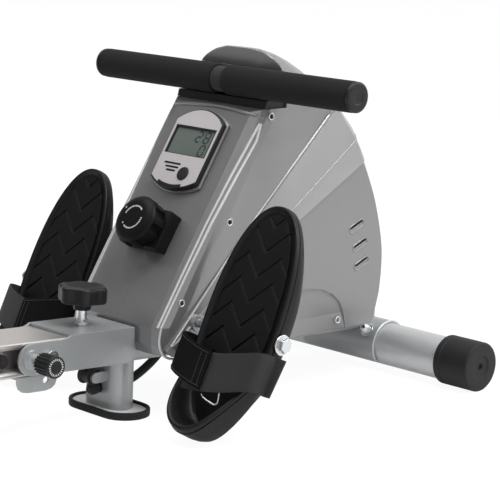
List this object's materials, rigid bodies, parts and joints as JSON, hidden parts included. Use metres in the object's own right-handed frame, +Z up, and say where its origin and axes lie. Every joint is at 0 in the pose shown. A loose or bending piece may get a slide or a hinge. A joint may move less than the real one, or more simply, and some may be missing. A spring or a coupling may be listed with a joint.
{
  "type": "folding rowing machine",
  "caption": "Indoor rower with a folding rail, sliding padded seat, strap-pulled handle, pivoting footrests and a magnetic flywheel in a wedge-shaped housing.",
  "frame": {"origin": "centre of the machine's plan outline, on the floor", "axes": "+X from the seat towards the flywheel housing along the rail, +Y to the rower's left, +Z up"},
  "size_m": [1.8746, 0.509, 0.462],
  "materials": {
    "silver_shell": "metallic silver grey paint, glossy",
    "frame_paint": "pale grey powder coat, satin",
    "rail_aluminium": "anodised, satin, drawn lengthwise",
    "black_plastic": "moulded, fine grain",
    "rubber": "moulded, dull",
    "foam": "closed-cell foam sleeve, dull",
    "zinc": "bright zinc plate",
    "console_plate": "silver painted face on a dark case",
    "screen_glass": "display window, grey green",
    "steel": "bare and zinc-plated steel",
    "webbing": "woven webbing, dull",
    "cast_iron": "turned and lacquered",
    "seat_vinyl": "grained upholstery vinyl over foam",
    "cord": "rubber cord"
  },
  "bodies": {
    "frame": {"main_beam": "frame_paint", "rail_bracket": "frame_paint", "pivot_bolt": "zinc", "support_post": "frame_paint", "foot_plate": "rail_aluminium", "foot_rubber": "rubber", "return_cord": "cord", "front_stabiliser": "frame_paint", "stabiliser_saddle": "frame_paint", "saddle_nut_right": "zinc", "saddle_nut_left": "zinc", "housing_right": "silver_shell", "housing_left": "silver_shell", "top_cap": "silver_shell", "handle_cradle": "black_plastic", "console_case": "console_plate", "console_screen": "screen_glass", "knob_base": "black_plastic", "pull_strap": "webbing", "guide_mast": "steel", "flywheel_bracket": "steel", "flywheel_axle": "steel", "axle_sleeve": "frame_paint", "pedal_axle": "zinc"},
    "rail": {"rail": "rail_aluminium", "hinge_plate": "frame_paint", "rail_stop": "rubber", "rail_end_cap": "black_plastic", "rear_leg": "frame_paint", "rear_cap_left": "rubber", "rear_cap_right": "rubber"},
    "seat": {"seat_carriage": "zinc", "seat_pad": "seat_vinyl"},
    "seat_wheel_front_left": {"seat_roller_front_left": "black_plastic"},
    "seat_wheel_front_right": {"seat_roller_front_right": "black_plastic"},
    "seat_wheel_rear_left": {"seat_roller_rear_left": "black_plastic"},
    "seat_wheel_rear_right": {"seat_roller_rear_right": "black_plastic"},
    "clamp": {"clamp_knob": "black_plastic", "clamp_screw": "zinc"},
    "lock_pin": {"pull_pin": "zinc", "pull_knob": "black_plastic"},
    "button": {"mode_button": "black_plastic"},
    "tension_dial": {"tension_knob": "black_plastic"},
    "magnet": {"magnet_arm": "steel"},
    "pulley": {"cord_pulley": "black_plastic"},
    "transport_wheel_left": {"front_roller_left": "rubber"},
    "transport_wheel_right": {"front_roller_right": "rubber"},
    "handle": {"handle_bar": "steel", "grip_left": "foam", "grip_right": "foam", "grip_cap_left": "black_plastic", "grip_cap_right": "black_plastic", "strap_loop": "webbing"},
    "drum": {"strap_drum": "black_plastic"},
    "guide_wheel": {"guide_roller": "black_plastic"},
    "flywheel_body": {"flywheel": "cast_iron"},
    "footrest_left": {"pedal_left": "black_plastic", "foot_strap_left": "webbing"},
    "footrest_right": {"pedal_right": "black_plastic", "foot_strap_right": "webbing"}
  },
  "joints": [
    {"name": "rail_fold", "type": "hinge", "parent": "frame", "child": "rail", "pos_m": [0.30166, 0, 0.09744], "axis": [0, 1, 0], "range_deg": [0, 86]},
    {"name": "seat_slide", "type": "slide", "parent": "rail", "child": "seat", "axis": [-0.9993, 0, 0.0377], "range_m": [-0.362, 0.53]},
    {"name": "seat_wheel_front_left_turn", "type": "hinge", "parent": "seat", "child": "seat_wheel_front_left", "pos_m": [-0.17797, 0, 0.11613], "axis": [0, 1, 0], "continuous": true},
    {"name": "seat_wheel_front_right_turn", "type": "hinge", "parent": "seat", "child": "seat_wheel_front_right", "pos_m": [-0.17797, 0, 0.11613], "axis": [0, 1, 0], "continuous": true},
    {"name": "seat_wheel_rear_left_turn", "type": "hinge", "parent": "seat", "child": "seat_wheel_rear_left", "pos_m": [-0.34586, 0, 0.12247], "axis": [0, 1, 0], "continuous": true},
    {"name": "seat_wheel_rear_right_turn", "type": "hinge", "parent": "seat", "child": "seat_wheel_rear_right", "pos_m": [-0.34586, 0, 0.12247], "axis": [0, 1, 0], "continuous": true},
    {"name": "clamp_turn", "type": "hinge", "parent": "frame", "child": "clamp", "pos_m": [0.38503, 0, 0.11902], "axis": [0.0377, 0, 0.9993], "continuous": true},
    {"name": "pin_pull", "type": "slide", "parent": "frame", "child": "lock_pin", "axis": [0, -1, 0], "range_m": [0, 0.01], "stiffness_N_per_m": 800},
    {"name": "button_press", "type": "slide", "parent": "frame", "child": "button", "axis": [0.849, 0, -0.5284], "range_m": [0, 0.0015], "stiffness_N_per_m": 300},
    {"name": "tension_turn", "type": "hinge", "parent": "frame", "child": "tension_dial", "pos_m": [0.50602, 0, 0.22627], "axis": [0.849, 0, -0.5284], "range_deg": [-270, 0]},
    {"name": "magnet_swing", "type": "hinge", "parent": "frame", "child": "magnet", "pos_m": [0.6625, 0, 0.141], "axis": [0, 1, 0], "range_deg": [-12, 0]},
    {"name": "pulley_turn", "type": "hinge", "parent": "frame", "child": "pulley", "pos_m": [0.4005, 0, 0.05], "axis": [0, 1, 0], "continuous": true},
    {"name": "transport_wheel_left_turn", "type": "hinge", "parent": "frame", "child": "transport_wheel_left", "pos_m": [0.9031, 0, 0.03475], "axis": [0, 1, 0], "continuous": true},
    {"name": "transport_wheel_right_turn", "type": "hinge", "parent": "frame", "child": "transport_wheel_right", "pos_m": [0.9031, 0, 0.03475], "axis": [0, 1, 0], "continuous": true},
    {"name": "handle_pull", "type": "slide", "parent": "frame", "child": "handle", "axis": [-1, 0, 0], "range_m": [0, 1.1], "stiffness_N_per_m": 30},
    {"name": "drum_turn", "type": "hinge", "parent": "frame", "child": "drum", "pos_m": [0.7685, 0, 0.212], "axis": [0, 1, 0], "continuous": true},
    {"name": "guide_turn", "type": "hinge", "parent": "frame", "child": "guide_wheel", "pos_m": [0.6745, 0, 0.4095], "axis": [0, 1, 0], "continuous": true},
    {"name": "flywheel_turn", "type": "hinge", "parent": "frame", "child": "flywheel_body", "pos_m": [0.7685, 0, 0.212], "axis": [0, 1, 0], "continuous": true},
    {"name": "footrest_left_tilt", "type": "hinge", "parent": "frame", "child": "footrest_left", "pos_m": [0.4975, 0.18, 0.1255], "axis": [0, 1, 0], "range_deg": [0, 25]},
    {"name": "footrest_right_tilt", "type": "hinge", "parent": "frame", "child": "footrest_right", "pos_m": [0.4975, -0.18, 0.1255], "axis": [0, 1, 0], "range_deg": [0, 25]}
  ],
  "couplings": [
    {"joint": "seat_wheel_front_left_turn", "follows": "seat_slide", "rad_per_m": -75.188},
    {"joint": "seat_wheel_front_right_turn", "follows": "seat_slide", "rad_per_m": -75.188},
    {"joint": "seat_wheel_rear_left_turn", "follows": "seat_slide", "rad_per_m": -75.188},
    {"joint": "seat_wheel_rear_right_turn", "follows": "seat_slide", "rad_per_m": -75.188},
    {"joint": "magnet_swing", "follows": "tension_turn", "ratio": 0.044444},
    {"joint": "drum_turn", "follows": "handle_pull", "rad_per_m": 30.96},
    {"joint": "guide_turn", "follows": "handle_pull", "rad_per_m": -81.301}
  ]
}
